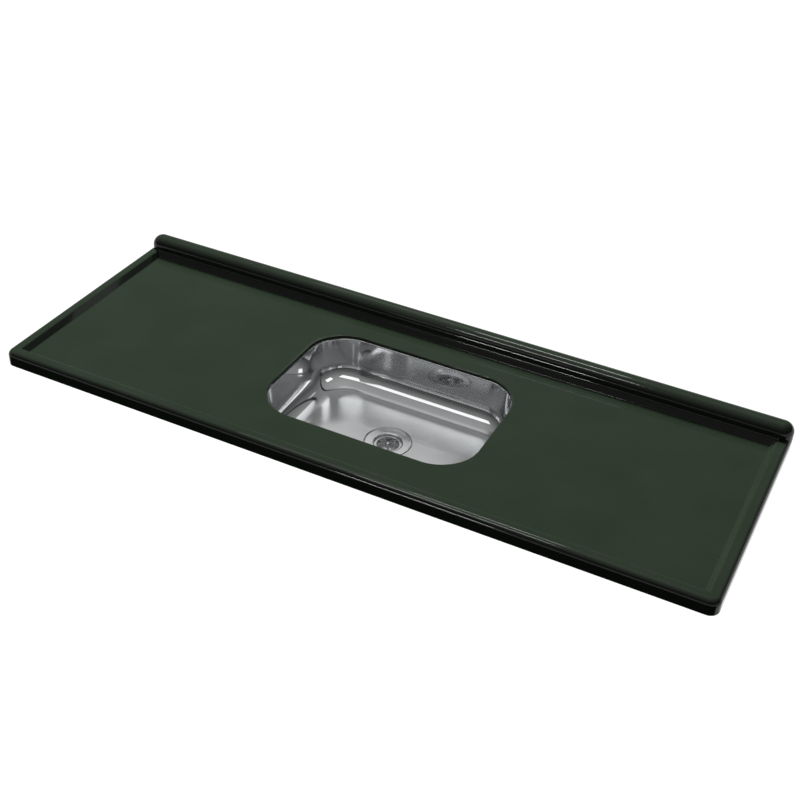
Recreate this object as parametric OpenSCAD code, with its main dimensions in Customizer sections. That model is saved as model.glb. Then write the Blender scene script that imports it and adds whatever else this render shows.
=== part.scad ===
// Cast composite sink top with a drip lip, a rolled upstand, an undermounted
// steel bowl and a strainer waste. X runs along the wall, Y points to the wall
// and Z is up. The origin is on the seating face, at the middle of the wall side.

/* [Worktop] */
// Length along the wall
top_l = 1500; // [1100:10:2400]
// Depth from the wall to the front edge
top_d = 550; // [500:5:700]
// Deck surface above the seating face
deck_h = 20; // [20:1:30]
// Thickness of the casting under the deck
shell_t = 12; // [10:1:13]
// Width of the solid skirt under the lip
skirt_w = 28; // [24:1:30]
// Radius of the two front corners in plan
corner_r = 20; // [14:1:40]

/* [Drip lip] */
// Crest of the lip above the deck
lip_rise = 12; // [6:1:16]
// Width from the outer face to the foot of the inner slope
lip_w = 34; // [28:1:45]
// Width of the inner slope
lip_slope_w = 10; // [6:1:14]
// Radius on the lip's outer top edge
edge_r = 12; // [4:1:13]

/* [Upstand] */
// Radius of the roll and of its ball ends
roll_r = 23; // [18:1:26]
// Crest of the roll above the deck
roll_rise = 40; // [36:1:60]

/* [Bowl] */
// Inside length at the rim
bowl_w = 460; // [400:5:560]
// Inside depth at the rim, front to back
bowl_d = 320; // [280:5:350]
// Inside corner radius at the rim
bowl_corner_r = 87; // [70:1:110]
// Floor below the flange
bowl_depth = 108; // [90:1:180]
// Lean of the walls in degrees
wall_lean = 2.5; // [0:0.5:5]
// Radius between wall and floor
cove_r = 50; // [20:1:55]
// Radius between flange and wall
rim_r = 5; // [3:0.5:7]
// Width of the flat flange
flange_w = 18; // [14:1:19]
// Sheet thickness
sheet_t = 0.8; // [0.6:0.1:1.2]
// Bowl centre off the middle of the pocket under the deck, towards the wall
bowl_shift = 5; // [0:1:6]
// Overhang of the cut-out's edge over the bowl
reveal = 2; // [0:0.5:4]
// Composite left above the flange
cover_t = 7; // [6:0.5:8]
// Radius on the cut-out's top edge
cut_edge_r = 2.5; // [1:0.5:3]
// Play of the flange in its rebate
rebate_play = 1.5; // [1:0.1:2]
// Sealant thickness over the flange
sealant_t = 1; // [0.5:0.1:1.5]
// Sealant starts this far outside the rim's round
sealant_in = 0.5; // [0:0.1:2]
// Sealant stops this far inside the flange's edge
sealant_out = 2; // [0.5:0.1:4]

/* [Bowl fixings] */
// Clip thickness
clip_t = 2; // [1.5:0.1:2.5]
// Clip width
clip_w = 20; // [14:1:30]
// Reach of the clip under the flange
clip_reach = 9; // [7:1:12]
// Clip spacing short of the end of the flange's straight side
clip_inset = 3; // [0:1:30]
// Screw centre outside the flange
clip_screw_out = 12; // [10:1:13]
// Clip's tail past the screw centre
clip_tail = 6; // [6:1:8]
// Screw shank radius
screw_r = 2.45; // [1.9:0.05:2.5]
// Screw head radius
screw_head_r = 4.5; // [3.5:0.1:5]
// Screw head height
screw_head_t = 3.2; // [2:0.1:3.4]
// Radius of the screws' washers
clip_washer_r = 5.2; // [4.5:0.1:6]
// Thickness of the screws' washers
clip_washer_t = 1; // [0.5:0.1:1.2]
// Insert radius
insert_r = 3.5; // [3.2:0.1:4.5]
// Insert length
insert_len = 8; // [5:0.5:9]

/* [Bearers] */
// Width of the end and cross bearers
cross_bearer_w = 50; // [30:1:70]
// Gap from the clips' tails to the front and rear bearers
bearer_gap = 2; // [1:0.5:6]
// Gap from the clips' tails to the nearest cross bearer
bowl_bay = 15; // [5:1:40]
// Play of the bearers against the skirt
bearer_play = 1; // [0.5:0.1:2]
// Bearers stop short of the seating face by this
bearer_inset = 0.5; // [0:0.1:2]

/* [Damping pads] */
// Gap from the recess round the waste to the pads
pad_gap = 8; // [4:1:20]
// Pads stop this far inside the edge of the flat floor
pad_inset = 20; // [5:1:40]
// Pad thickness
pad_t = 3; // [1:0.5:5]

/* [Waste flange and cup] */
// Depth of the recess pressed into the bowl floor
recess_depth = 3; // [2.5:0.1:5]
// Width of the recess's sloping side
recess_slope_w = 2; // [1:0.5:4]
// Flange radius
waste_r = 47.5; // [46:0.5:52]
// Gap round the flange in its recess
recess_play = 1; // [0.5:0.1:2]
// Sheet thickness of flange and cup
waste_t = 1; // [0.8:0.1:1.2]
// Radius of the bevel on the flange's edge
waste_bevel = 0.6; // [0.2:0.1:0.7]
// Inside radius of the cup's mouth
mouth_r = 28.5; // [27.5:0.1:29]
// Radius of the round from the flange down into the mouth
mouth_round_r = 4; // [2:0.5:5]
// Gap round the mouth in the bowl's hole
hole_play = 5; // [4:0.5:6]
// Inside radius of the cup below its ledge
cup_r = 25.5; // [25:0.1:26]
// Ledge below the bowl floor
ledge_depth = 9; // [8:0.5:11]
// Cup bottom below the bowl floor
cup_depth = 28; // [27:0.5:32]
// Radius of the six drain holes
drain_hole_r = 5.5; // [4:0.5:6]
// Upper gasket thickness
upper_gasket_t = 0.8; // [0.5:0.1:1]
// Lower gasket thickness
under_gasket_t = 3; // [2:0.5:4]
// Gaskets stop this far inside the edges that they seal
gasket_inset = 1; // [0.5:0.1:2]

/* [Outlet] */
// Radius over the outlet's thread
outlet_r = 23.9; // [23:0.1:25]
// Length of the outlet
outlet_len = 26; // [18:1:40]
// Wall of the outlet
outlet_wall = 4; // [3:0.5:5]
// Radius of the body's flange
outlet_flange_r = 45; // [42:0.5:47]
// Thickness of the body's flange
outlet_flange_t = 4.2; // [3:0.1:6]
// Width of the bevel under the flange
outlet_bevel_w = 2; // [1:0.5:4]
// Height of the bevel under the flange
outlet_bevel_h = 4; // [2:0.5:6]
// Wall of the body round the cup
body_wall = 3; // [2:0.5:4]
// Gap between the body and the cup's mouth
body_play = 1; // [0.5:0.1:2]
// Room under the cup before the body narrows
chamber_h = 12; // [12:0.5:16]
// Height of the funnel down to the outlet
funnel_h = 9; // [8:0.5:20]
// Radius of the hub for the centre bolt
hub_r = 8; // [7:0.5:10]
// Gap between the cup's bottom and the hub
hub_gap = 2.5; // [1:0.5:4]
// Height of the three spokes that carry the hub
spoke_h = 7; // [4:0.5:7]
// Width of the spokes
spoke_w = 5; // [3:0.5:7]
// Radius of the nut moulded into the hub
nut_r = 4.6; // [4:0.1:5.5]
// Length of that nut
nut_len = 7; // [5:0.5:7]
// Centre bolt shank radius
bolt_r = 2.95; // [2.4:0.05:3]
// Centre bolt head radius
bolt_head_r = 6; // [5:0.5:7]
// Centre bolt head height
bolt_head_t = 3; // [2:0.1:4]
// Radius of the bolt's washer
bolt_washer_r = 7.5; // [7:0.5:9]
// Thickness of the bolt's washer
bolt_washer_t = 1; // [0.5:0.1:1.2]

/* [Strainer basket] */
// Play of the basket's rim in the cup's mouth
rim_play = 0.4; // [0.3:0.1:1]
// Play of the basket's wall below the ledge
wall_play = 0.7; // [0.4:0.1:1.5]
// Clearance from the rivet down to the bolt head
basket_clear = 1.7; // [0.5:0.1:3]
// Sheet thickness of the basket
basket_t = 0.8; // [0.5:0.1:1]
// Seal thickness under the rim
seal_t = 1.5; // [1:0.1:2]
// Radius of the holes
perf_r = 1.5; // [1:0.1:1.7]
// Spacing of the rings of holes in the base, and of the holes in a ring
perf_pitch = 5.5; // [5:0.1:8]
// Spacing of the holes round the wall
perf_wall_pitch = 7.5; // [6:0.1:12]
// Radius of the knob's ball
knob_r = 5; // [4:0.5:6]
// Centre of the knob's ball above the cup's ledge
knob_rise = 3; // [1:0.5:6]
// Radius of the knob's foot
knob_foot_r = 5; // [4:0.5:5.5]
// Thickness of the knob's foot
knob_foot_t = 1.5; // [1:0.1:2]
// Radius of the knob's stem
knob_stem_r = 2.4; // [2.2:0.1:3]
// Rivet shank radius
rivet_r = 1.5; // [1:0.1:1.6]
// Rivet head radius
rivet_head_r = 4; // [3:0.1:5]
// Rivet head height
rivet_head_t = 1.2; // [0.8:0.1:1.5]
// Length of the rivet in the knob
rivet_len = 6.5; // [4:0.5:7]

/* [Hidden] */
$fn = 96;
arc_steps = 10;

over = 1;           // how far a cutter runs past what it cuts
slip = 0.05;        // radial play of a screw, insert or shank in its seat
clip_play = 1;      // play of the clip's step in the rebate
clip_hole_play = 0.3;
washer_play = 0.2;
cup_hole_play = 0.35;
blind_end = 0.5;    // room past the end of an insert or a rivet
tip_inset = 1;      // a screw's tip stops this far short of its insert's end
bolt_tip = 1;       // the centre bolt's tip past its nut
slot_w = 1.2;       // driver slots
slot_h = 1.2;
perf_margin = 1;    // sheet left between the outer holes and the wall
foot_margin = 2.5;  // sheet left between the inner holes and the knob's foot
perf_sides = 8;     // a punched hole in the basket's wall

half_l = top_l / 2;
lip_h = deck_h + lip_rise;
roll_z = deck_h + roll_rise - roll_r;
upstand_w = 2 * roll_r;
pocket_h = deck_h - shell_t;
bowl_back = (upstand_w + top_d - skirt_w) / 2 - bowl_shift;

cut_w = bowl_w - 2 * reveal;
cut_d = bowl_d - 2 * reveal;
cut_r = bowl_corner_r - reveal;
flange_z = deck_h - cover_t - sealant_t;
flange_bottom = flange_z - sheet_t;
flange_out = rim_r + flange_w;
flange_half_w = bowl_w / 2 + flange_out;
flange_half_d = bowl_d / 2 + flange_out;
floor_z = flange_z - bowl_depth;
floor_under_z = floor_z - sheet_t;

// Where the leaning wall leaves the rim's round, and the axis of the cove,
// both measured out from the axis of the bowl's corner
rim_foot = [bowl_corner_r + rim_r * (1 - cos(wall_lean)), flange_z - rim_r * (1 - sin(wall_lean))];
cove_top_z = floor_z + cove_r * (1 - sin(wall_lean));
cove_axis = rim_foot[0] - (rim_foot[1] - cove_top_z) * tan(wall_lean) - cove_r * cos(wall_lean);
floor_w = bowl_w - 2 * bowl_corner_r + 2 * cove_axis;
floor_d = bowl_d - 2 * bowl_corner_r + 2 * cove_axis;

recess_r = waste_r + recess_play;
recess_lip_r = recess_r + recess_slope_w;
recess_z = floor_z - recess_depth;
under_z = recess_z - sheet_t;
waste_z = recess_z + upper_gasket_t;      // underside of the waste flange
waste_top = waste_z + waste_t;
mouth_out_r = mouth_r + waste_t;
bowl_hole_r = mouth_out_r + hole_play;
cup_out_r = cup_r + waste_t;
ledge_z = floor_z - ledge_depth;
cup_z = floor_z - cup_depth;              // upper face of the cup's bottom
cup_under_z = cup_z - waste_t;
drain_ring_r = (bolt_washer_r + cup_r) / 2;

body_z = under_z - under_gasket_t;        // top of the outlet body
body_in_r = mouth_out_r + body_play;
body_out_r = body_in_r + body_wall;
chamber_z = cup_z - chamber_h;
funnel_z = chamber_z - funnel_h;
outlet_in_r = outlet_r - outlet_wall;
outlet_end = funnel_z - outlet_len;
hub_top = cup_under_z - hub_gap;
hub_bottom = chamber_z;
nut_bottom = hub_top - nut_len;

basket_rim_r = mouth_r - rim_play;
basket_r = cup_r - wall_play;
basket_in_r = basket_r - basket_t;
rim_z = ledge_z + seal_t;                 // underside of the basket's rim
bolt_seat = cup_z + bolt_washer_t;
basket_z = bolt_seat + bolt_head_t + basket_clear + rivet_head_t;
basket_floor_z = basket_z + basket_t;
knob_z = ledge_z + knob_rise;             // centre of the knob's ball

clip_out = clip_screw_out + clip_tail;
clip_pitch = bowl_w / 2 - bowl_corner_r - clip_w / 2 - clip_inset;
clip_under = pocket_h - clip_t;
screw_seat = clip_under - clip_washer_t;

// Centre of each clip on the flange's outer edge, and the way it points
clip_places = concat(
    [for (s = [-1, 1], i = [-1, 0, 1]) [i * clip_pitch, s * flange_half_d, s * 90]],
    [for (s = [-1, 1]) [s * flange_half_w, 0, s > 0 ? 0 : 180]]
);

bay_x = half_l - skirt_w - bearer_play;
bay_front = -top_d + skirt_w + bearer_play;
bay_back = -upstand_w - bearer_play;
cross_front = -bowl_back - flange_half_d - clip_out - bearer_gap;
cross_back = -bowl_back + flange_half_d + clip_out + bearer_gap;

function arc(centre, r, from, to, steps) =
    [for (i = [0:steps]) let (a = from + (to - from) * i / steps)
        [centre[0] + r * cos(a), centre[1] + r * sin(a)]];

module both_ends() {
    children();
    mirror([1, 0, 0]) children();
}

module at_bowl() { translate([0, -bowl_back, 0]) children(); }

module at_clips() {
    at_bowl() for (p = clip_places) translate([p[0], p[1], 0]) rotate(p[2]) children();
}

module at_screws() { at_clips() translate([clip_screw_out, 0, 0]) children(); }

module disc(r, z0, z1) { translate([0, 0, z0]) cylinder(r = r, h = z1 - z0); }

module ring(r_in, r_out, z0, z1) {
    difference() {
        disc(r_out, z0, z1);
        disc(r_in, z0 - over, z1 + over);
    }
}

module driver_slot(length, z) {
    translate([0, 0, z]) cube([length, slot_w, 2 * slot_h], center = true);
}

module rounded_rect(w, d, r) {
    square([w - 2 * r, d], center = true);
    square([w, d - 2 * r], center = true);
    for (sx = [-1, 1], sy = [-1, 1]) translate([sx * (w / 2 - r), sy * (d / 2 - r)]) circle(r);
}

module rounded_plate(w, d, r, z0, z1) {
    translate([0, 0, z0]) linear_extrude(z1 - z0) rounded_rect(w, d, r);
}

// Sweeps a profile round a rounded rectangle. The profile's x is measured out
// from the axis of the rectangle's corner, and its y is height.
module swept(w, d, r) {
    for (q = [[1, 1, 0], [-1, 1, 90], [-1, -1, 180], [1, -1, 270]])
        translate([q[0] * (w / 2 - r), q[1] * (d / 2 - r), 0])
            rotate(q[2]) rotate_extrude(angle = 90) children();
    for (a = [0, 180]) rotate(a) swept_side(w / 2 - r, d - 2 * r) children();
    for (a = [90, 270]) rotate(a) swept_side(d / 2 - r, w - 2 * r) children();
}

module swept_side(out, length) {
    translate([out, length / 2, 0]) rotate([90, 0, 0]) linear_extrude(length) children();
}

// Half of the lip's outline: up the outer face, round the edge and in along the crest
module edge_half(reach) {
    square([reach, lip_h - edge_r]);
    square([reach - edge_r, lip_h]);
    translate([reach - edge_r, lip_h - edge_r]) circle(edge_r);
}

module deck_block() {
    both_ends() {
        translate([half_l - corner_r, -top_d + corner_r, 0]) rotate_extrude() intersection() {
            edge_half(corner_r);
            square([corner_r, lip_h]);
        }
        translate([0, -roll_r, 0]) rotate([90, 0, 0])
            linear_extrude(top_d - roll_r - corner_r) edge_half(half_l);
    }
    translate([half_l - corner_r, -roll_r, 0]) rotate([90, 0, -90])
        linear_extrude(top_l - 2 * corner_r) edge_half(top_d - roll_r);
}

module upstand() {
    translate([-half_l + roll_r, -upstand_w, 0]) cube([top_l - upstand_w, upstand_w, roll_z]);
    translate([-half_l + roll_r, -roll_r, roll_z]) rotate([0, 90, 0]) cylinder(r = roll_r, h = top_l - upstand_w);
    both_ends() translate([half_l - roll_r, -roll_r, 0]) {
        cylinder(r = roll_r, h = roll_z);
        translate([0, 0, roll_z]) sphere(roll_r);
    }
}

// The sunken deck, with a slope up to the lip on three sides and to the roll at the back
module deck_hollow() {
    rise = lip_rise + over;
    run = lip_slope_w * rise / lip_rise;
    front = -top_d + lip_w;
    back = -upstand_w - lip_slope_w;
    side = half_l - lip_w;
    intersection() {
        translate([-half_l, 0, 0]) rotate([90, 0, 90]) linear_extrude(top_l) polygon([
            [front, deck_h], [back, deck_h], [back + lip_slope_w, lip_h],
            [back + lip_slope_w - over, deck_h + rise], [front - run, deck_h + rise],
        ]);
        rotate([90, 0, 0]) linear_extrude(top_d) polygon([
            [-side, deck_h], [side, deck_h], [side + run, deck_h + rise], [-side - run, deck_h + rise],
        ]);
    }
}

module worktop() {
    color("darkslategray") difference() {
        union() {
            deck_block();
            upstand();
        }
        deck_hollow();
        translate([-half_l + skirt_w, -top_d + skirt_w, -over])
            cube([top_l - 2 * skirt_w, top_d - skirt_w - upstand_w, pocket_h + over]);
        at_bowl() {
            rounded_plate(cut_w, cut_d, cut_r, 0, deck_h + over);
            rounded_plate(2 * (flange_half_w + rebate_play), 2 * (flange_half_d + rebate_play),
                bowl_corner_r + flange_out + rebate_play, 0, deck_h - cover_t);
            swept(cut_w, cut_d, cut_r) difference() {
                translate([cut_r - over, deck_h - cut_edge_r]) square([cut_edge_r + over, cut_edge_r + over]);
                translate([cut_r + cut_edge_r, deck_h - cut_edge_r]) circle(cut_edge_r);
            }
        }
        at_screws() disc(insert_r, 0, pocket_h + insert_len + blind_end);
    }
}

module bearer(x0, x1, y0, y1) {
    color("burlywood") translate([x0, y0, bearer_inset]) cube([x1 - x0, y1 - y0, pocket_h - bearer_inset]);
}

module front_bearer() { bearer(-bay_x, bay_x, bay_front, cross_front); }

module rear_bearer() { bearer(-bay_x, bay_x, cross_back, bay_back); }

module end_bearers() {
    both_ends() bearer(bay_x - cross_bearer_w, bay_x, cross_front, cross_back);
}

module cross_bearers() {
    inner = flange_half_w + clip_out + bowl_bay;
    outer = (inner + bay_x - cross_bearer_w) / 2;
    both_ends() for (x = [inner, outer]) bearer(x, x + cross_bearer_w, cross_front, cross_back);
}

module bowl_profile() {
    rim_c = [bowl_corner_r + rim_r, flange_z - rim_r];
    cove_c = [cove_axis, floor_z + cove_r];
    polygon(concat(
        [[bowl_corner_r + flange_out, flange_z]],
        arc(rim_c, rim_r, 90, 180 - wall_lean, arc_steps),
        arc(cove_c, cove_r, -wall_lean, -90, arc_steps),
        arc(cove_c, cove_r + sheet_t, -90, -wall_lean, arc_steps),
        arc(rim_c, rim_r - sheet_t, 180 - wall_lean, 90, arc_steps),
        [[bowl_corner_r + flange_out, flange_bottom]]
    ));
}

module bowl() {
    color("lightgray") at_bowl() {
        swept(bowl_w, bowl_d, bowl_corner_r) bowl_profile();
        difference() {
            rounded_plate(floor_w, floor_d, cove_axis, floor_under_z, floor_z);
            disc(recess_lip_r, floor_under_z - over, floor_z + over);
        }
        rotate_extrude() polygon([
            [recess_lip_r, floor_z], [recess_r, recess_z], [bowl_hole_r, recess_z],
            [bowl_hole_r, under_z], [recess_r + sheet_t, under_z], [recess_lip_r, floor_under_z],
        ]);
    }
}

module bowl_sealant() {
    in = rim_r + sealant_in;
    out = flange_out - sealant_out;
    color("dimgray") at_bowl() swept(bowl_w, bowl_d, bowl_corner_r)
        translate([bowl_corner_r + in, flange_z]) square([out - in, sealant_t]);
}

module damping_pads() {
    inner = recess_lip_r + pad_gap;
    outer = floor_w / 2 - pad_inset;
    pad_d = floor_d - 2 * pad_inset;
    color("black") at_bowl() both_ends()
        translate([inner, -pad_d / 2, floor_under_z - pad_t]) cube([outer - inner, pad_d, pad_t]);
}

module clip_inserts() {
    color("goldenrod") at_screws() ring(screw_r + slip, insert_r - slip, pocket_h, pocket_h + insert_len);
}

// A strap that steps down at 45 degrees from the flange to the pocket's ceiling
module bowl_clips() {
    step = flange_bottom - pocket_h;
    foot = rebate_play - clip_play;
    head = foot - step;
    mitre = clip_t * tan(22.5);
    color("silver") at_clips() difference() {
        translate([0, clip_w / 2, 0]) rotate([90, 0, 0]) linear_extrude(clip_w) polygon([
            [-clip_reach, flange_bottom], [head, flange_bottom], [foot, pocket_h],
            [clip_out, pocket_h], [clip_out, clip_under], [foot - mitre, clip_under],
            [head - mitre, flange_bottom - clip_t], [-clip_reach, flange_bottom - clip_t],
        ]);
        translate([clip_screw_out, 0, 0]) disc(screw_r + clip_hole_play, clip_under - over, pocket_h + over);
    }
}

module clip_washers() {
    color("silver") at_screws() ring(screw_r + washer_play, clip_washer_r, screw_seat, clip_under);
}

module clip_screws() {
    head_z = screw_seat - screw_head_t;
    color("gainsboro") at_screws() difference() {
        union() {
            disc(screw_head_r, head_z, screw_seat);
            disc(screw_r, screw_seat - slip, pocket_h + insert_len - tip_inset);
        }
        for (a = [0, 90]) rotate(a) driver_slot(screw_head_r, head_z);
    }
}

module waste_cup() {
    round_z = waste_top - mouth_round_r;
    round_c = [mouth_r + mouth_round_r, round_z];
    color("whitesmoke") at_bowl() difference() {
        rotate_extrude() polygon(concat(
            [[waste_r, waste_z], [waste_r, waste_top - waste_bevel], [waste_r - waste_bevel, waste_top]],
            arc(round_c, mouth_round_r, 90, 180, arc_steps),
            [
                [mouth_r, ledge_z], [cup_r, ledge_z], [cup_r, cup_z],
                [bolt_r + cup_hole_play, cup_z], [bolt_r + cup_hole_play, cup_under_z],
                [cup_out_r, cup_under_z], [cup_out_r, ledge_z - waste_t], [mouth_out_r, ledge_z - waste_t],
            ],
            arc(round_c, mouth_round_r - waste_t, 180, 90, arc_steps)
        ));
        for (i = [0:5]) rotate(i * 60) translate([drain_ring_r, 0, 0])
            disc(drain_hole_r, cup_under_z - over, cup_z + over);
    }
}

module upper_gasket() {
    color("dimgray") at_bowl() ring(bowl_hole_r + gasket_inset, waste_r - gasket_inset, recess_z, waste_z);
}

module under_gasket() {
    color("dimgray") at_bowl() ring(body_in_r + gasket_inset, outlet_flange_r - gasket_inset, body_z, under_z);
}

module outlet_body() {
    wide_z = body_z - outlet_flange_t;
    spoke_reach = (body_in_r + body_out_r) / 2;
    color("dimgray") at_bowl() {
        rotate_extrude() polygon([
            [outlet_flange_r, body_z], [outlet_flange_r, wide_z], [body_out_r + outlet_bevel_w, wide_z],
            [body_out_r, wide_z - outlet_bevel_h], [body_out_r, chamber_z],
            [body_in_r, chamber_z], [body_in_r, body_z],
        ]);
        difference() {
            union() {
                disc(hub_r, hub_bottom, hub_top);
                for (a = [30, 150, 270]) rotate(a) translate([0, -spoke_w / 2, hub_bottom])
                    cube([spoke_reach, spoke_w, spoke_h]);
            }
            disc(nut_r + slip, hub_bottom - over, hub_top + over);
        }
    }
}

// Funnel and threaded outlet, welded to the foot of the body
module outlet_tail() {
    color("dimgray") at_bowl() rotate_extrude() polygon([
        [body_out_r, chamber_z], [outlet_r, funnel_z], [outlet_r, outlet_end],
        [outlet_in_r, outlet_end], [outlet_in_r, funnel_z], [body_in_r, chamber_z],
    ]);
}

module bridge_nut() {
    color("goldenrod") at_bowl() ring(bolt_r + slip, nut_r, nut_bottom, hub_top);
}

module bolt_washer() {
    color("silver") at_bowl() ring(bolt_r + washer_play, bolt_washer_r, cup_z, bolt_seat);
}

module centre_bolt() {
    color("gainsboro") at_bowl() difference() {
        union() {
            disc(bolt_head_r, bolt_seat, bolt_seat + bolt_head_t);
            disc(bolt_r, nut_bottom - bolt_tip, bolt_seat + slip);
        }
        driver_slot(2 * bolt_head_r + over, bolt_seat + bolt_head_t);
    }
}

module basket() {
    wall_count = floor(2 * PI * basket_r / perf_wall_pitch);
    wall_row_z = basket_z + (rim_z - basket_z) * 2 / 3;
    color("gainsboro") at_bowl() difference() {
        rotate_extrude() polygon([
            [basket_rim_r, rim_z], [basket_rim_r, rim_z + basket_t], [basket_in_r, rim_z + basket_t],
            [basket_in_r, basket_z], [basket_r, basket_z], [basket_r, rim_z],
        ]);
        for (i = [1:wall_count]) rotate(i * 360 / wall_count)
            translate([basket_in_r - over, 0, wall_row_z]) rotate([0, 90, 0])
                cylinder(r = perf_r, h = basket_t + 2 * over, $fn = perf_sides);
    }
}

module basket_base() {
    first_ring = knob_foot_r + perf_r + foot_margin;
    last_ring = basket_in_r - perf_r - perf_margin;
    color("gainsboro") at_bowl() difference() {
        ring(rivet_r + slip, basket_in_r - slip, basket_z, basket_floor_z);
        for (r = [first_ring:perf_pitch:last_ring]) let (count = floor(2 * PI * r / perf_pitch))
            for (i = [1:count]) rotate(i * 360 / count) translate([r, 0, 0])
                disc(perf_r, basket_z - over, basket_floor_z + over);
    }
}

module basket_seal() {
    color("black") at_bowl() ring(basket_r + slip, basket_rim_r, ledge_z, rim_z);
}

module basket_knob() {
    color("gainsboro") at_bowl() difference() {
        union() {
            disc(knob_foot_r, basket_floor_z, basket_floor_z + knob_foot_t);
            disc(knob_stem_r, basket_floor_z, knob_z);
            translate([0, 0, knob_z]) sphere(knob_r);
        }
        disc(rivet_r + slip, basket_floor_z - over, basket_floor_z + rivet_len + blind_end);
    }
}

module basket_rivet() {
    color("silver") at_bowl() {
        disc(rivet_head_r, basket_z - rivet_head_t, basket_z);
        disc(rivet_r, basket_z - slip, basket_floor_z + rivet_len);
    }
}

worktop();
front_bearer();
rear_bearer();
end_bearers();
cross_bearers();
bowl();
bowl_sealant();
damping_pads();
clip_inserts();
bowl_clips();
clip_washers();
clip_screws();
waste_cup();
upper_gasket();
under_gasket();
outlet_body();
outlet_tail();
bridge_nut();
centre_bolt();
bolt_washer();
basket();
basket_base();
basket_seal();
basket_knob();
basket_rivet();
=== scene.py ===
import math
import bmesh
import bpy
from mathutils import Matrix, Vector


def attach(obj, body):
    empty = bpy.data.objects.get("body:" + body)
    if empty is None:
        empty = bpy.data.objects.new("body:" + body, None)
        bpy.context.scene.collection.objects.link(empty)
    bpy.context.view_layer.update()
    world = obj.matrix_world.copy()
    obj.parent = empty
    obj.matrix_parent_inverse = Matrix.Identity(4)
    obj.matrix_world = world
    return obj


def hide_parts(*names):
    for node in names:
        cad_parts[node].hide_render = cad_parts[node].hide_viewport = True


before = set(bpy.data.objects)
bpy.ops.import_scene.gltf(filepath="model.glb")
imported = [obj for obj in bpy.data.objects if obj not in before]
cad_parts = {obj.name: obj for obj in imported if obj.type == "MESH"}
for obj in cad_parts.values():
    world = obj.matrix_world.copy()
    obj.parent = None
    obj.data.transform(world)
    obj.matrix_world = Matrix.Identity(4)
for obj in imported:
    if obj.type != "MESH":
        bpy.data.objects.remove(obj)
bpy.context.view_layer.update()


# Worktop: one casting of dark green resin and stone powder with a gelcoat face. A sunken deck has
# a drip lip on three sides and a rolled upstand along the wall. The casting comes out of a
# polished mould, so every edge has a small round, and its back is matt.
TOP_X, TOP_FRONT = 0.750, -0.550            # half its length, and its front; the wall is at y = 0
DECK_Z, LIP_Z = 0.020, 0.032
CORNER_R, EDGE_R, BOTTOM_EDGE_R = 0.020, 0.012, 0.0015
LIP_BACK = -0.023                           # the block of deck and lip ends inside the upstand
CREST_IN = 0.024                            # from the outer face to the top of the inner slope
CREST_BACK = -0.046                         # where the slope at the back meets the upstand
CREST_RIM, CREST_R = 0.003, 0.002           # a flat strip kept for the crest's round, and the round
SLOPE_W, SLOPE_FOOT_R = 0.010, 0.0010
SKIRT_W, POCKET_Z = 0.028, 0.008            # the skirt round the pocket, and the pocket's ceiling
BOWL_Y = -0.279
CORNER_X, CORNER_Y = 0.143, 0.073           # axes of the bowl's corners, about its middle
CORNER_STEPS = 24
REBATE_R, REBATE_Z = 0.1115, 0.013          # the rebate that takes the bowl's flange
CUT_R = 0.085                               # corners of the cut-out
CUT_RIM, CUT_EDGE_R = 0.008, 0.0025         # a flat strip kept for its rounded edge, and the round
ROLL_R, ROLL_X, ROLL_Z = 0.023, 0.727, 0.037
HOLLOW_W, HOLLOW_TOP, HOLLOW_R = 0.004, 0.0365, 0.003
HOLLOW_BACK, HOLLOW_FLOOR = -0.040, 0.022   # the hidden sides of its bead, inside the casting
TOUCH = 1e-5                                # two places nearer than this are one


def near(a, b):
    return abs(a - b) < TOUCH


def pick_edges(bm, test):
    """The edges whose two ends both pass the test."""
    return [e for e in bm.edges if test(e.verts[0].co) and test(e.verts[1].co)]


def at_y(edge, y):
    return all(near(v.co.y, y) for v in edge.verts)


def sized(place, width, depth, height=1):
    """The matrix that gives a shape of size 1 that size, about that place."""
    return Matrix.Translation(place) @ Matrix.Diagonal((width, depth, height, 1))


def plate(bm, x, y0, y1, z):
    """The points of one flat face from -x to x and from y0 to y1."""
    square = sized((0, (y0 + y1) / 2, z), 2 * x, y1 - y0)
    return bmesh.ops.create_grid(bm, x_segments=1, y_segments=1, size=0.5, matrix=square)["verts"]


def bowl_plate(bm, corner_r, z):
    """A flat rounded rectangle about the bowl's middle, with corners of that radius."""
    half_y = CORNER_Y + corner_r
    corners = plate(bm, CORNER_X + corner_r, BOWL_Y - half_y, BOWL_Y + half_y, z)
    bmesh.ops.bevel(bm, geom=corners, offset=corner_r, segments=CORNER_STEPS, profile=0.5,
                    affect="VERTICES", material=-1)
    return next(f for f in bm.faces if len(f.verts) == 4 * (CORNER_STEPS + 1))


def round_edges(bm, edges, radius, steps):
    bmesh.ops.bevel(bm, geom=edges, offset=radius, segments=steps, profile=0.5, affect="EDGES",
                    material=-1, clamp_overlap=False)
    bm.normal_update()


def extrude(bm, edges):
    """Extrudes the edges, and returns the new points and the new edges that join them."""
    geom = bmesh.ops.extrude_edge_only(bm, edges=edges)["geom"]
    points = [g for g in geom if isinstance(g, bmesh.types.BMVert)]
    new = set(points)
    edges = [g for g in geom if isinstance(g, bmesh.types.BMEdge) and new.issuperset(g.verts)]
    return points, edges


def wall(bm, face, z):
    """Puts a wall from the face's outline to that height in place of the face."""
    points, _ = extrude(bm, list(face.edges))
    bmesh.ops.translate(bm, vec=(0, 0, z - face.verts[0].co.z), verts=points)
    bmesh.ops.delete(bm, geom=[face], context="FACES_ONLY")


def inset(bm, face, width, depth=0.0):
    bmesh.ops.inset_region(bm, faces=[face], thickness=width, depth=depth,
                           use_even_offset=True, use_boundary=True)


def by_area(bm):
    """The faces, from the smallest to the largest."""
    return sorted(bm.faces, key=lambda f: f.calc_area())


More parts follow.
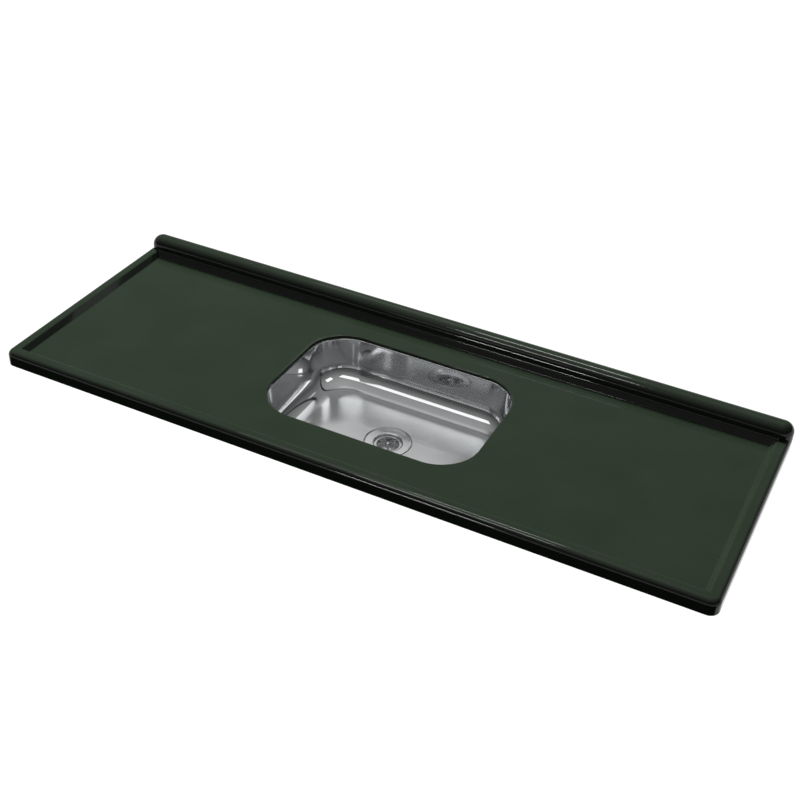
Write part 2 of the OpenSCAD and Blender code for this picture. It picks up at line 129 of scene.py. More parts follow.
def as_object(bm, name):
    mesh = bpy.data.meshes.new(name)
    bm.to_mesh(mesh)
    bm.free()
    piece = bpy.data.objects.new(name, mesh)
    bpy.context.scene.collection.objects.link(piece)
    return piece


def shade(piece, sharp_degrees):
    """Shades the piece smooth, apart from the edges that turn by more than that angle."""
    for face in piece.data.polygons:
        face.use_smooth = True
    piece.data.set_sharp_from_angle(angle=math.radians(sharp_degrees))


block = bmesh.new()
bmesh.ops.create_cube(block, size=1, matrix=sized(
    (0, (TOP_FRONT + LIP_BACK) / 2, LIP_Z / 2), 2 * TOP_X, LIP_BACK - TOP_FRONT, LIP_Z))
front_edges = pick_edges(block, lambda c: near(c.y, TOP_FRONT))
upright = [e for e in front_edges if near(e.verts[0].co.x, e.verts[1].co.x)]
round_edges(block, upright, CORNER_R, 14)
for height, radius, steps in ((LIP_Z, EDGE_R, 12), (0, BOTTOM_EDGE_R, 3)):
    rim = pick_edges(block, lambda c: near(c.z, height))
    round_edges(block, [e for e in rim if not at_y(e, LIP_BACK)], radius, steps)
top_and_bottom = by_area(block)[-2:]
bmesh.ops.delete(block, geom=top_and_bottom, context="FACES_ONLY")


def in_lip(c):
    return (abs(c.x) < TOP_X - CREST_IN + TOUCH
            and TOP_FRONT + CREST_IN - TOUCH < c.y < CREST_BACK + TOUCH)


# The deck with its slopes, rounded at their feet, in their corners and along the crest
plate(block, TOP_X - CREST_IN + CREST_RIM, TOP_FRONT + CREST_IN - CREST_RIM,
      CREST_BACK + CREST_RIM, LIP_Z)
deck = by_area(block)[-1]
inset(block, deck, CREST_RIM)
inset(block, deck, SLOPE_W, DECK_Z - LIP_Z)
slope_edges = pick_edges(block, in_lip)
foot_and_corners = [e for e in slope_edges if min(v.co.z for v in e.verts) < DECK_Z + TOUCH]
round_edges(block, foot_and_corners, SLOPE_FOOT_R, 4)
crest_edges = pick_edges(block, lambda c: in_lip(c) and near(c.z, LIP_Z))
round_edges(block, [e for e in crest_edges if not at_y(e, CREST_BACK)], CREST_R, 4)
bmesh.ops.delete(block, geom=[by_area(block)[-1]], context="FACES_ONLY")

# The pocket in the back, the rebate for the bowl's flange and the wall of the cut-out
plate(block, TOP_X - SKIRT_W, TOP_FRONT + SKIRT_W, CREST_BACK, 0)
wall(block, by_area(block)[-1], POCKET_Z)
wall(block, bowl_plate(block, REBATE_R, REBATE_Z), POCKET_Z)
margin = bowl_plate(block, CUT_R + CUT_RIM, DECK_Z)
inset(block, margin, CUT_RIM)
wall(block, margin, REBATE_Z)
for z, up in ((LIP_Z, 1), (DECK_Z, 1), (REBATE_Z, -1), (POCKET_Z, -1), (0, -1)):
    rims = [e for e in pick_edges(block, lambda c: near(c.z, z)) if e.is_boundary]
    bmesh.ops.triangle_fill(block, edges=rims, use_beauty=True, normal=(0, 0, up))
bmesh.ops.remove_doubles(block, verts=block.verts, dist=5 * TOUCH)
deck_edges = pick_edges(block, lambda c: near(c.z, DECK_Z))
cut_edges = [e for e in deck_edges if any(abs(f.normal.z) < 0.1 for f in e.link_faces)]
round_edges(block, cut_edges, CUT_EDGE_R, 5)
bmesh.ops.recalc_face_normals(block, faces=block.faces)
worktop = as_object(block, "worktop_casting")

# The roll: half of its outline is turned about one end, drawn along, turned about the other end
# and drawn back
roll = bmesh.new()
brow = roll.verts.new((ROLL_X, -2 * ROLL_R, ROLL_Z))
bmesh.ops.spin(roll, geom=[brow], cent=(ROLL_X, -ROLL_R, ROLL_Z), axis=(-1, 0, 0),
               angle=math.pi / 2, steps=20)
heel = roll.verts.new((ROLL_X, -2 * ROLL_R, 0))
roll.edges.new((heel, brow))
outline = list(roll.edges) + list(roll.verts)
for side in (1, -1):
    turned = bmesh.ops.spin(roll, geom=outline, cent=(side * ROLL_X, -ROLL_R, 0), axis=(0, 0, 1),
                            angle=math.pi, steps=40)
    edges = [g for g in turned["geom_last"] if isinstance(g, bmesh.types.BMEdge)]
    points, edges = extrude(roll, edges)
    bmesh.ops.translate(roll, vec=(-side * 2 * ROLL_X, 0, 0), verts=points)
    outline = points + edges
bmesh.ops.remove_doubles(roll, verts=roll.verts, dist=TOUCH / 10)
bmesh.ops.contextual_create(roll, geom=[e for e in roll.edges if e.is_boundary])
bmesh.ops.recalc_face_normals(roll, faces=roll.faces)
upstand = as_object(roll, "upstand_roll")

# The small hollow where the slope runs up into the upstand, as a bead along it
bead = bmesh.new()
on_slope = CREST_BACK - HOLLOW_W
slope_z = LIP_Z - HOLLOW_W * (LIP_Z - DECK_Z) / SLOPE_W
corners = [bead.verts.new((-ROLL_X, y, z)) for y, z in (
    (on_slope, slope_z), (CREST_BACK, LIP_Z), (CREST_BACK, HOLLOW_TOP),
    (HOLLOW_BACK, HOLLOW_TOP), (HOLLOW_BACK, HOLLOW_FLOOR), (on_slope, HOLLOW_FLOOR))]
section = bead.faces.new(corners)
far_end = bmesh.ops.extrude_face_region(bead, geom=[section], use_keep_orig=True)["geom"]
bmesh.ops.translate(bead, vec=(2 * ROLL_X, 0, 0),
                    verts=[g for g in far_end if isinstance(g, bmesh.types.BMVert)])
crease = pick_edges(bead, lambda c: near(c.y, CREST_BACK) and near(c.z, LIP_Z))
round_edges(bead, crease, HOLLOW_R, 5)
bmesh.ops.recalc_face_normals(bead, faces=bead.faces)
hollow = as_object(bead, "upstand_hollow")

for other in (upstand, hollow):
    joined = worktop.modifiers.new("joined", "BOOLEAN")
    joined.operation, joined.solver, joined.object = "UNION", "MANIFOLD", other
bpy.context.view_layer.update()
cast = bpy.data.meshes.new_from_object(worktop.evaluated_get(bpy.context.evaluated_depsgraph_get()))
worktop.modifiers.clear()
worktop.data = cast
for other in (upstand, hollow):
    bpy.data.objects.remove(other)
shade(worktop, 32)
worktop.modifiers.new("even_normals", "WEIGHTED_NORMAL").keep_sharp = True


def feed(tree, socket, value):
    """Links an output to the socket, or gives the socket that value."""
    if isinstance(value, bpy.types.NodeSocket):
        tree.links.new(value, socket)
    else:
        socket.default_value = value


def noise(tree, place, scale, detail=4.0, stretch=(1, 1, 1)):
    mapping = tree.nodes.new("ShaderNodeMapping")
    mapping.inputs["Scale"].default_value = stretch
    feed(tree, mapping.inputs["Vector"], place)
    texture = tree.nodes.new("ShaderNodeTexNoise")
    texture.inputs["Detail"].default_value = detail
    feed(tree, texture.inputs["Scale"], scale)
    feed(tree, texture.inputs["Vector"], mapping.outputs["Vector"])
    return texture.outputs["Fac"]


def spread(tree, value, low, high, start=0.3, end=0.7):
    """The value, which runs from start to end, as a number from low to high."""
    ranged = tree.nodes.new("ShaderNodeMapRange")
    given = {"Value": value, "From Min": start, "From Max": end, "To Min": low, "To Max": high}
    for label, number in given.items():
        feed(tree, ranged.inputs[label], number)
    return ranged.outputs["Result"]


def blend_colours(tree, factor, first, second):
    mix = tree.nodes.new("ShaderNodeMix")
    mix.data_type = "RGBA"
    feed(tree, mix.inputs["Factor"], factor)
    for label, colour in (("A", first), ("B", second)):
        feed(tree, next(i for i in mix.inputs if i.name == label and i.type == "RGBA"), colour)
    return next(o for o in mix.outputs if o.type == "RGBA")


def arithmetic(tree, operation, first, second):
    node = tree.nodes.new("ShaderNodeMath")
    node.operation = operation
    feed(tree, node.inputs[0], first)
    feed(tree, node.inputs[1], second)
    return node.outputs[0]


def new_group(name, takes, gives):
    """An empty shader node group, with the sockets that lead into it and out of it."""
    group = bpy.data.node_groups.new(name, "ShaderNodeTree")
    for way, sockets in (("INPUT", takes), ("OUTPUT", gives)):
        for label, kind in sockets.items():
            group.interface.new_socket(label, in_out=way, socket_type="NodeSocket" + kind)
    return (group, group.nodes.new("NodeGroupInput").outputs,
            group.nodes.new("NodeGroupOutput").inputs)


def use_group(tree, group, values):
    node = tree.nodes.new("ShaderNodeGroup")
    node.node_tree = group
    for label, value in values.items():
        feed(tree, node.inputs[label], value)
    return node.outputs


# Mottle: two colours in soft clouds, and a finer unevenness of the gloss and the surface
mottle, takes, gives = new_group(
    "mottle",
    {"Vector": "Vector", "First Colour": "Color", "Second Colour": "Color", "Cloud Scale": "Float",
     "Fine Scale": "Float", "Low Roughness": "Float", "High Roughness": "Float"},
    {"Colour": "Color", "Roughness": "Float", "Height": "Float"})
clouds = spread(mottle, noise(mottle, takes["Vector"], takes["Cloud Scale"]), 0, 1)
fine = noise(mottle, takes["Vector"], takes["Fine Scale"], detail=2)
feed(mottle, gives["Colour"],
     blend_colours(mottle, clouds, takes["First Colour"], takes["Second Colour"]))
feed(mottle, gives["Roughness"],
     spread(mottle, fine, takes["Low Roughness"], takes["High Roughness"]))
feed(mottle, gives["Height"], fine)

# Wipe marks: fine hair lines, along the piece and across it, where a polished face has dulled
THIN = 0.03         # how thin a line is, as a share of its length
wipe_marks, takes, gives = new_group(
    "wipe_marks",
    {"Vector": "Vector", "Roughness": "Float", "Scale": "Float", "Dulling": "Float"},
    {"Roughness": "Float"})
lengthways = noise(wipe_marks, takes["Vector"], takes["Scale"], detail=2, stretch=(THIN, 1, 1))
across = noise(wipe_marks, takes["Vector"], takes["Scale"], detail=2, stretch=(1, THIN, 1))
both_ways = arithmetic(wipe_marks, "MAXIMUM", lengthways, across)
lines = spread(wipe_marks, both_ways, 0, 1, start=0.60, end=0.72)
dulled = arithmetic(wipe_marks, "MULTIPLY", lines, takes["Dulling"])
feed(wipe_marks, gives["Roughness"], arithmetic(wipe_marks, "ADD", takes["Roughness"], dulled))


def new_material(name, colour, metallic=0):
    material = bpy.data.materials.new(name)
    material.use_nodes = True
    material.diffuse_color = (*colour, 1)
    shader = material.node_tree.nodes["Principled BSDF"]
    shader.inputs["Metallic"].default_value = metallic
    material.node_tree.nodes.new("ShaderNodeTexCoord")
    return material


def inside(material):
    """The material's node tree, its shader and its Object coordinates."""
    tree = material.node_tree
    return tree, tree.nodes["Principled BSDF"], tree.nodes["Texture Coordinate"].outputs["Object"]


def raised(tree, shader, height, strength, depth):
    bump = tree.nodes.new("ShaderNodeBump")
    bump.inputs["Strength"].default_value = strength
    bump.inputs["Distance"].default_value = depth
    feed(tree, bump.inputs["Height"], height)
    feed(tree, shader.inputs["Normal"], bump.outputs["Normal"])


def mottled(name, first, second, cloud, fine, roughness=(0, 0), relief=None, metallic=0):
    """A material in two colours, with the scales of its clouds and of its fine unevenness, its
    lowest and highest roughness, and the strength and depth of its relief."""
    material = new_material(name, first, metallic)
    tree, shader, place = inside(material)
    face = use_group(tree, mottle, {
        "Vector": place, "First Colour": (*first, 1), "Second Colour": (*second, 1),
        "Cloud Scale": cloud, "Fine Scale": fine,
        "Low Roughness": roughness[0], "High Roughness": roughness[1]})
    feed(tree, shader.inputs["Base Color"], face["Colour"])
    feed(tree, shader.inputs["Roughness"], face["Roughness"])
    if relief:
        raised(tree, shader, face["Height"], *relief)
    return material


def add_wipe_marks(material, scale, dulling):
    tree, shader, place = inside(material)
    roughness = shader.inputs["Roughness"]
    marked = use_group(tree, wipe_marks, {
        "Vector": place, "Roughness": roughness.links[0].from_socket, "Scale": scale,
        "Dulling": dulling})
    feed(tree, roughness, marked["Roughness"])


gelcoat = mottled("dark_green_gelcoat", (0.0225, 0.0345, 0.0210), (0.0265, 0.0390, 0.0250),
                  cloud=9, fine=22, roughness=(0.05, 0.09), relief=(0.04, 0.0004))
add_wipe_marks(gelcoat, scale=160, dulling=0.04)
gelcoat.node_tree.nodes["Principled BSDF"].inputs["Specular IOR Level"].default_value = 0.25
cast_back = mottled("matt_cast_back", (0.030, 0.042, 0.030), (0.055, 0.066, 0.050),
                    cloud=60, fine=240, roughness=(0.55, 0.8), relief=(0.5, 0.0006))
worktop.data.materials.clear()
worktop.data.materials.append(gelcoat)
worktop.data.materials.append(cast_back)
OUTER_SKIN = 0.001          # a face nearer than this to an outer side is part of that side
for face in worktop.data.polygons:
    c = face.center
    inward = abs(c.x) < TOP_X - OUTER_SKIN and TOP_FRONT + OUTER_SKIN < c.y < -OUTER_SKIN
    underneath = inward and c.z < POCKET_Z + 10 * TOUCH
    rebate = near(c.z, REBATE_Z) and face.normal.z < -0.9
    face.material_index = 1 if underneath or rebate else 0
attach(worktop, "sink")
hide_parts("worktop")


# Bowl: a pressed steel bowl, polished to a mirror, with a flat flange that the casting covers and
# a recess round the waste. The floor falls a little to the waste, and washing up has dulled it.
SHEET_T = 0.0008
FLANGE_R, FLANGE_Z = 0.110, 0.012
WALL_R, RIM_R, WALL_LEAN = 0.092, 0.005, 2.5        # the walls lean in by 2.5 degrees
COVE_R, COVE_AXIS, COVE_Z, FLOOR_Z = 0.050, 0.0346, -0.046, -0.096
FLOOR_DIP = 0.0005
RECESS_LIP_R, RECESS_R, RECESS_Z, HOLE_R = 0.0505, 0.0485, -0.099, 0.0345
LONG_STEPS, SHORT_STEPS = 24, 12                    # faces along a long wall and a short one


def draw(bm, start, *moves):
    """A chain of edges in the XZ plane. A move is a point to go to, or a turn, which is its
    centre's x and z, its degrees and its steps."""
    tip = bm.verts.new((start[0], 0, start[1]))
    for move in moves:
        if len(move) == 2:
            new = bm.verts.new((move[0], 0, move[1]))
            bm.edges.new((tip, new))
            tip = new
        else:
            x, z, degrees, steps = move
            turned = bmesh.ops.spin(bm, geom=[tip], cent=(x, 0, z), axis=(0, 1, 0),
                                    angle=math.radians(degrees), steps=steps)
            tip = next(g for g in turned["geom_last"] if isinstance(g, bmesh.types.BMVert))
    return list(bm.verts) + list(bm.edges)


pressing = bmesh.new()
lean = math.radians(WALL_LEAN)
wall_foot = (COVE_AXIS + COVE_R * math.cos(lean), COVE_Z - COVE_R * math.sin(lean))
chain = draw(pressing, (FLANGE_R, FLANGE_Z), (WALL_R, FLANGE_Z),
             (WALL_R, FLANGE_Z - RIM_R, WALL_LEAN - 90, 8),
             wall_foot, (COVE_AXIS, COVE_Z, 90 - WALL_LEAN, 20))
bmesh.ops.translate(pressing, vec=(CORNER_X, BOWL_Y + CORNER_Y, 0), verts=pressing.verts)

# The section is turned about each corner and drawn along to the next, once round
for corner_x, corner_y, way_x, way_y, steps in (
        (1, 1, -1, 0, LONG_STEPS), (-1, 1, 0, -1, SHORT_STEPS),
        (-1, -1, 1, 0, LONG_STEPS), (1, -1, 0, 1, SHORT_STEPS)):
    axis_at = (corner_x * CORNER_X, BOWL_Y + corner_y * CORNER_Y, 0)
    step = (way_x * 2 * CORNER_X / steps, way_y * 2 * CORNER_Y / steps, 0)
    chain = bmesh.ops.spin(pressing, geom=chain, cent=axis_at, axis=(0, 0, 1), angle=math.pi / 2,
                           steps=CORNER_STEPS)["geom_last"]
    chain = bmesh.ops.spin(pressing, geom=chain, cent=(0, 0, 0), axis=(0, 0, 1), angle=0,
                           steps=steps, dvec=step)["geom_last"]
bmesh.ops.remove_doubles(pressing, verts=pressing.verts, dist=TOUCH / 10)


def draw_in(bm, rim, radius, z):
    """Runs sheet from a rim of edges in to a circle about the waste, and returns the new points
    and rim."""
    points, rim = extrude(bm, rim)
    for v in points:
        away = Vector((v.co.x, v.co.y - BOWL_Y)).normalized() * radius
        v.co = (away.x, away.y + BOWL_Y, z)
    return points, rim


floor_rim = [e for e in pressing.edges if e.is_boundary and e.verts[0].co.z < FLOOR_Z + 10 * TOUCH]
points, ring = draw_in(pressing, floor_rim, RECESS_LIP_R, FLOOR_Z)
on_lip = set(points)
spokes = [e for e in pressing.edges if (e.verts[0] in on_lip) != (e.verts[1] in on_lip)]
bmesh.ops.subdivide_edges(pressing, edges=spokes, cuts=9, use_grid_fill=True)

# The floor's fall: none along the walls' cove, all of it at the recess, and soft at both
for v in pressing.verts:
    if near(v.co.z, FLOOR_Z):
        x, y = abs(v.co.x) - CORNER_X, abs(v.co.y - BOWL_Y) - CORNER_Y
        to_cove = COVE_AXIS - math.hypot(max(x, 0), max(y, 0)) - min(max(x, y), 0)
        to_recess = math.hypot(v.co.x, v.co.y - BOWL_Y) - RECESS_LIP_R
        share = to_cove / max(to_cove + to_recess, TOUCH / 10)
        v.co.z -= FLOOR_DIP * share * share * (3 - 2 * share)
for radius in (RECESS_R, HOLE_R):
    _, ring = draw_in(pressing, ring, radius, RECESS_Z)
bmesh.ops.recalc_face_normals(pressing, faces=pressing.faces)
faces_down = sum(f.normal.z * f.calc_area() for f in pressing.faces) < 0
if faces_down:
    bmesh.ops.reverse_faces(pressing, faces=pressing.faces)
bowl = as_object(pressing, "bowl_pressing")
shade(bowl, 40)
sheet = bowl.modifiers.new("sheet", "SOLIDIFY")
sheet.thickness, sheet.offset = SHEET_T, -1

FLOOR_DULLING = 0.13                                # added to the roughness of the floor
DULLED_UP_TO, POLISHED_FROM = FLOOR_Z + 0.001, FLOOR_Z + 0.006
mirror_steel = mottled("mirror_polished_steel", (0.70, 0.71, 0.72), (0.76, 0.77, 0.775),
                       cloud=14, fine=9, roughness=(0.05, 0.08), relief=(0.05, 0.0010), metallic=1)
add_wipe_marks(mirror_steel, scale=220, dulling=0.04)
tree, shader, place = inside(mirror_steel)
height = tree.nodes.new("ShaderNodeSeparateXYZ")
feed(tree, height.inputs[0], place)
worn = spread(tree, height.outputs["Z"], FLOOR_DULLING, 0, start=DULLED_UP_TO, end=POLISHED_FROM)
roughness = shader.inputs["Roughness"]
feed(tree, roughness, arithmetic(tree, "ADD", roughness.links[0].from_socket, worn))
bowl.data.materials.append(mirror_steel)
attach(bowl, "sink")
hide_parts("bowl")


# Waste and strainer basket: bright turned steel. The flange and cup are in the bowl's floor, and
# the basket lifts out by its knob. The holes are punched.
turned_rings, takes, gives = new_group(
    "turned_rings",
    {"Vector": "Vector", "Scale": "Float", "Low Roughness": "Float", "High Roughness": "Float"},
    {"Roughness": "Float", "Height": "Float"})
centred = turned_rings.nodes.new("ShaderNodeMapping")
centred.inputs["Location"].default_value = (0, -BOWL_Y, 0)
feed(turned_rings, centred.inputs["Vector"], takes["Vector"])
rings = turned_rings.nodes.new("ShaderNodeTexWave")
rings.wave_type, rings.rings_direction = "RINGS", "Z"
rings.inputs["Distortion"].default_value = 0.6
feed(turned_rings, rings.inputs["Vector"], centred.outputs["Vector"])
feed(turned_rings, rings.inputs["Scale"], takes["Scale"])
ridge = rings.outputs["Fac"]
feed(turned_rings, gives["Roughness"], spread(
    turned_rings, ridge, takes["Low Roughness"], takes["High Roughness"], start=0, end=1))
feed(turned_rings, gives["Height"], ridge)


def add_turned_rings(material, scale, roughness, relief=None):
    tree, shader, place = inside(material)
    face = use_group(tree, turned_rings, {
        "Vector": place, "Scale": scale, "Low Roughness": roughness[0],
        "High Roughness": roughness[1]})
    feed(tree, shader.inputs["Roughness"], face["Roughness"])
    if relief:
        raised(tree, shader, face["Height"], *relief)


def finish_nodes(material, *names):
    for name in names:
        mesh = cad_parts[name].data
        mesh.materials.clear()
        mesh.materials.append(material)


bright_steel = mottled("bright_turned_steel", (0.68, 0.69, 0.70), (0.78, 0.78, 0.785),
                       cloud=60, fine=90, metallic=1)
add_turned_rings(bright_steel, scale=180, roughness=(0.09, 0.20), relief=(0.04, 0.0001))
finish_nodes(bright_steel, "waste_cup", "centre_bolt", "bolt_washer", "basket", "basket_base",
             "basket_knob", "basket_rivet")


# Rubber and sealant: black rubber gaskets under the waste's flange and the bowl, the basket's
# seal, grey bedding sealant round the bowl's flange, and bitumen damping pads.
black_rubber = mottled("black_rubber", (0.018, 0.018, 0.018), (0.040, 0.040, 0.038),
                       cloud=70, fine=200, roughness=(0.5, 0.7), relief=(0.25, 0.0003))
grey_sealant = mottled("grey_sealant", (0.20, 0.21, 0.20), (0.28, 0.29, 0.28),
                       cloud=25, fine=45, roughness=(0.28, 0.42), relief=(0.3, 0.0008))
bitumen_sheet = mottled("bitumen_sheet", (0.022, 0.021, 0.020), (0.060, 0.058, 0.055),
                        cloud=30, fine=130, roughness=(0.6, 0.85), relief=(0.6, 0.0010))
finish_nodes(black_rubber, "upper_gasket", "under_gasket", "basket_seal")
finish_nodes(grey_sealant, "bowl_sealant")
finish_nodes(bitumen_sheet, "damping_pads")


# Outlet: a black moulded body with a hub on three spokes, and its tail for the trap. The brass
# nut is moulded into the hub. The eight inserts that are cast into the worktop are brass too.
black_moulding = mottled("black_moulding", (0.030, 0.030, 0.031), (0.048, 0.048, 0.048),
                         cloud=35, fine=500, roughness=(0.38, 0.55), relief=(0.2, 0.0002))
turned_brass = mottled("turned_brass", (0.60, 0.43, 0.18), (0.78, 0.60, 0.29),
                       cloud=120, fine=160, relief=(0.15, 0.0003), metallic=1)
add_turned_rings(turned_brass, scale=400, roughness=(0.20, 0.36))
finish_nodes(black_moulding, "outlet_body", "outlet_tail")
finish_nodes(turned_brass, "bridge_nut", "clip_inserts")


# Bowl clips: straps of zinc plated steel with washers and screws, which hold the bowl's flange up
# into its rebate.
zinc_plate = mottled("zinc_plate", (0.48, 0.50, 0.53), (0.66, 0.66, 0.64),
                     cloud=150, fine=320, roughness=(0.28, 0.46), relief=(0.15, 0.0002), metallic=1)
add_wipe_marks(zinc_plate, scale=500, dulling=0.12)
finish_nodes(zinc_plate, "bowl_clips", "clip_washers", "clip_screws")


# Bearers: sawn softwood battens glued into the pocket under the deck, two along it and the others
# across. The grain runs along each batten.
PALE_WOOD, DARK_WOOD, YEAR_RING = (0.56, 0.38, 0.20), (0.44, 0.27, 0.12), (0.34, 0.19, 0.08)
ALONG_GRAIN = (0.06, 1, 1)
sawn_grain, takes, gives = new_group(
    "sawn_grain", {"Vector": "Vector", "Pale": "Color", "Dark": "Color", "Ring": "Color"},
    {"Colour": "Color", "Roughness": "Float", "Height": "Float"})
fibres = noise(sawn_grain, takes["Vector"], scale=90, detail=6, stretch=ALONG_GRAIN)
bands = noise(sawn_grain, takes["Vector"], scale=24, detail=3, stretch=ALONG_GRAIN)
years = spread(sawn_grain, bands, 0, 0.7)
wood = blend_colours(sawn_grain, spread(sawn_grain, fibres, 0, 1), takes["Pale"], takes["Dark"])
feed(sawn_grain, gives["Colour"], blend_colours(sawn_grain, years, wood, takes["Ring"]))
feed(sawn_grain, gives["Roughness"], spread(sawn_grain, fibres, 0.6, 0.85))
feed(sawn_grain, gives["Height"], fibres)


def softwood(name, grain_angle):
    """Sawn softwood whose grain is turned by that angle from the X axis."""
    material = new_material(name, PALE_WOOD)
    tree, shader, place = inside(material)
    turned = tree.nodes.new("ShaderNodeMapping")
    turned.inputs["Rotation"].default_value = (0, 0, grain_angle)
    feed(tree, turned.inputs["Vector"], place)
    grain = use_group(tree, sawn_grain, {
        "Vector": turned.outputs["Vector"], "Pale": (*PALE_WOOD, 1), "Dark": (*DARK_WOOD, 1),
        "Ring": (*YEAR_RING, 1)})
    feed(tree, shader.inputs["Base Color"], grain["Colour"])
    feed(tree, shader.inputs["Roughness"], grain["Roughness"])
    raised(tree, shader, grain["Height"], strength=0.5, depth=0.0008)
    return material


finish_nodes(softwood("softwood_long", 0), "front_bearer", "rear_bearer")
finish_nodes(softwood("softwood_cross", math.pi / 2), "end_bearers", "cross_bearers")


# Studio: a white floor below the top, a dim room, a large soft light from the wall side on the
# left, and small lights for the lines and glints on the edges and in the bowl. A black cloth on
# the floor in front keeps the front face dark.
FLOOR_LEVEL, FLOOR_HALF = -0.90, 40
FLOOR_FRONT, FLOOR_BACK = -36, 44
CLOTH_HALF, CLOTH_FRONT, CLOTH_BACK, CLOTH_LIFT = 2.5, -3.7, -0.7, 0.01
WHITE = (1, 1, 1, 1)
FLOOR_GLOW = 0.90           # with the light that falls on it, the floor shows as white


def laid_flat(name, x, y0, y1, z):
    spread_out = bmesh.new()
    plate(spread_out, x, y0, y1, z)
    return as_object(spread_out, name)


def matt_colour(name, level):
    """A grey of that level with no gloss."""
    paint = bpy.data.materials.new(name)
    paint.use_nodes = True
    shader = paint.node_tree.nodes["Principled BSDF"]
    shader.inputs["Base Color"].default_value = (level, level, level, 1)
    shader.inputs["Roughness"].default_value = 0.9
    shader.inputs["Specular IOR Level"].default_value = 0
    return paint


# The floor is white where it is seen, and can't be seen from its underside
floor = laid_flat("floor", FLOOR_HALF, FLOOR_FRONT, FLOOR_BACK, FLOOR_LEVEL)
paint = matt_colour("floor_white", 0.15)
tree = paint.node_tree
shader = tree.nodes["Principled BSDF"]
shader.inputs["Emission Color"].default_value = WHITE
rays = tree.nodes.new("ShaderNodeLightPath").outputs
seen = arithmetic(tree, "ADD", rays["Is Camera Ray"], rays["Is Glossy Ray"])
seen = arithmetic(tree, "ADD", seen, rays["Is Transmission Ray"])
feed(tree, shader.inputs["Emission Strength"], arithmetic(tree, "MULTIPLY", seen, FLOOR_GLOW))
from_below = tree.nodes.new("ShaderNodeNewGeometry").outputs["Backfacing"]
feed(tree, shader.inputs["Alpha"], arithmetic(tree, "SUBTRACT", 1, from_below))
floor.data.materials.append(paint)

cloth = laid_flat("black_cloth", CLOTH_HALF, CLOTH_FRONT, CLOTH_BACK, FLOOR_LEVEL + CLOTH_LIFT)
cloth.data.materials.append(matt_colour("black_velvet", 0.004))
cloth.visible_camera = cloth.visible_diffuse = cloth.visible_shadow = False

# The room's two walls, as pairs of a height and a brightness
DARK_WALL = ((0, 1), (0.06, 1), (0.11, 0.12), (0.70, 0.13), (0.85, 0.5), (1, 0.6))
PALE_WALL = ((0, 1), (0.06, 1), (0.11, 0.10), (0.35, 0.15), (0.70, 0.30), (1, 0.40))
ROOM_LIGHT = 0.12           # what the room gives to matt faces
world = bpy.data.worlds.new("room")
bpy.context.scene.world = world
world.use_nodes = True
tree = world.node_tree
way = tree.nodes.new("ShaderNodeSeparateXYZ")
feed(tree, way.inputs[0], tree.nodes.new("ShaderNodeTexCoord").outputs["Generated"])


def room_wall(tree, height, levels):
    """The room's brightness up one of its walls, from the horizon at 0 to straight up at 1."""
    ramp = tree.nodes.new("ShaderNodeValToRGB")
    feed(tree, ramp.inputs["Fac"], height)
    stops = ramp.color_ramp.elements
    stops.remove(stops[1])
    for position, level in levels:
        stop = stops[0] if position == 0 else stops.new(position)
        stop.color = (level, level, level, 1)
    return ramp.outputs["Color"]


dark_wall = room_wall(tree, way.outputs["Z"], DARK_WALL)
pale_wall = room_wall(tree, way.outputs["Z"], PALE_WALL)
behind = spread(tree, way.outputs["Y"], 0, 1, start=-0.05, end=0.15)
to_the_left = spread(tree, way.outputs["X"], 0, 1, start=0.10, end=-0.05)
dark_side = arithmetic(tree, "MULTIPLY", behind, to_the_left)
room = blend_colours(tree, dark_side, pale_wall, dark_wall)
rays = tree.nodes.new("ShaderNodeLightPath").outputs
seen = arithmetic(tree, "ADD", rays["Is Camera Ray"], rays["Is Transmission Ray"])
background = tree.nodes["Background"]
feed(tree, background.inputs["Color"], blend_colours(tree, seen, room, WHITE))
feed(tree, background.inputs["Strength"],
     spread(tree, rays["Is Diffuse Ray"], 1, ROOM_LIGHT, start=0, end=1))


def soft_light(name, place, aim, width, height, radiance):
    """A rectangular light whose face has that radiance, where 1 shows as white."""
    lamp = bpy.data.lights.new(name, "AREA")
    lamp.shape = "RECTANGLE"
    lamp.size, lamp.size_y = width, height
    lamp.energy = radiance * math.pi * width * height
    light = bpy.data.objects.new(name, lamp)
    light.location = place
    light.rotation_euler = (Vector(aim) - Vector(place)).to_track_quat("-Z", "Y").to_euler()
    bpy.context.scene.collection.objects.link(light)
    return light


def shows_only_on(name, piece):
    shown_on = bpy.data.collections.new(name)
    shown_on.objects.link(piece)
    return shown_on


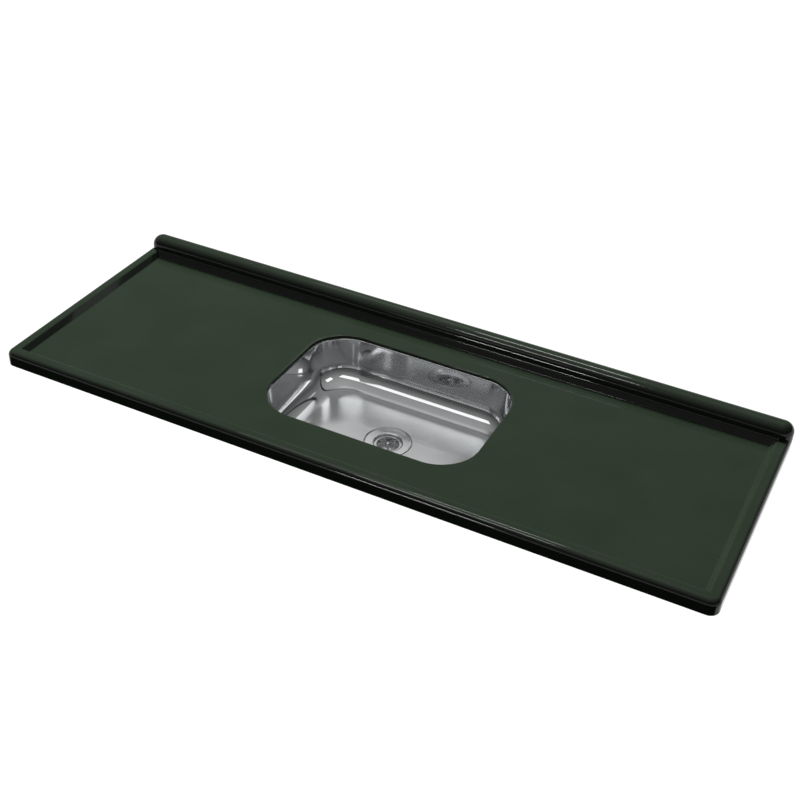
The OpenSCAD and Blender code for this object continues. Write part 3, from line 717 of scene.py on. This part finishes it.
TOP_MIDDLE = (0, BOWL_Y, 0)
on_worktop = shows_only_on("shown_on_worktop", worktop)
on_bowl = shows_only_on("shown_on_bowl", bowl)
softbox = soft_light("wall_side_softbox", (-6.6, 5.7, 8.1), TOP_MIDDLE,
                     width=3.0, height=3.0, radiance=88)
softbox.visible_glossy = False

# The lights for lines and glints: name, place, aim, width, height, radiance, where it shows
for *wanted, shown_on in (
        ("card_behind_bowl", (-0.255, 0.17, 0.35), (-0.255, 0.17, 0), 0.43, 0.20, 0.65, None),
        ("card_before_bowl", (-0.10, -0.53, 0.35), (-0.10, -0.53, 0), 0.50, 0.18, 1.0, None),
        ("overhead_strip_back", (-0.33, 0.58, 2.2), (-0.33, 0.58, 0), 0.62, 0.20, 20, on_worktop),
        ("overhead_strip_front", (-0.41, -1.25, 2.2), (-0.41, -1.25, 0), 0.78, 0.20, 20, on_worktop),
        ("card_right", (1.3, -0.25, 1.3), TOP_MIDDLE, 0.6, 0.4, 1.5, on_bowl),
        ("low_lamp", (-0.62, -3.0, 0.12), TOP_MIDDLE, 0.60, 0.12, 50, on_worktop)):
    light = soft_light(*wanted)
    light.visible_diffuse = False
    light.light_linking.receiver_collection = shown_on

# Camera fitted to the top's corners in the photograph, with its angles in degrees
AZIMUTH, ELEVATION, TILT = 25.20, 35.71, 2.80
AIM, DISTANCE = Vector((0.0123, -0.2570, 0)), 2.6177
LENS, SENSOR = 58.257, 36
azimuth, elevation, tilt = (math.radians(angle) for angle in (AZIMUTH, ELEVATION, TILT))
level_out = Vector((math.sin(azimuth), -math.cos(azimuth), 0))
back = level_out * math.cos(elevation) + Vector((0, 0, math.sin(elevation)))
level_right = Vector((math.cos(azimuth), math.sin(azimuth), 0))
level_up = back.cross(level_right)
right = level_right * math.cos(tilt) + level_up * math.sin(tilt)
up = level_up * math.cos(tilt) - level_right * math.sin(tilt)
camera = bpy.data.objects.new("camera", bpy.data.cameras.new("camera"))
camera.data.lens, camera.data.sensor_width = LENS, SENSOR
facing = Matrix((right, up, back)).transposed().to_4x4()
camera.matrix_world = Matrix.Translation(AIM + back * DISTANCE) @ facing
bpy.context.scene.collection.objects.link(camera)
bpy.context.scene.camera = camera
bpy.context.scene.view_settings.view_transform = "Standard"
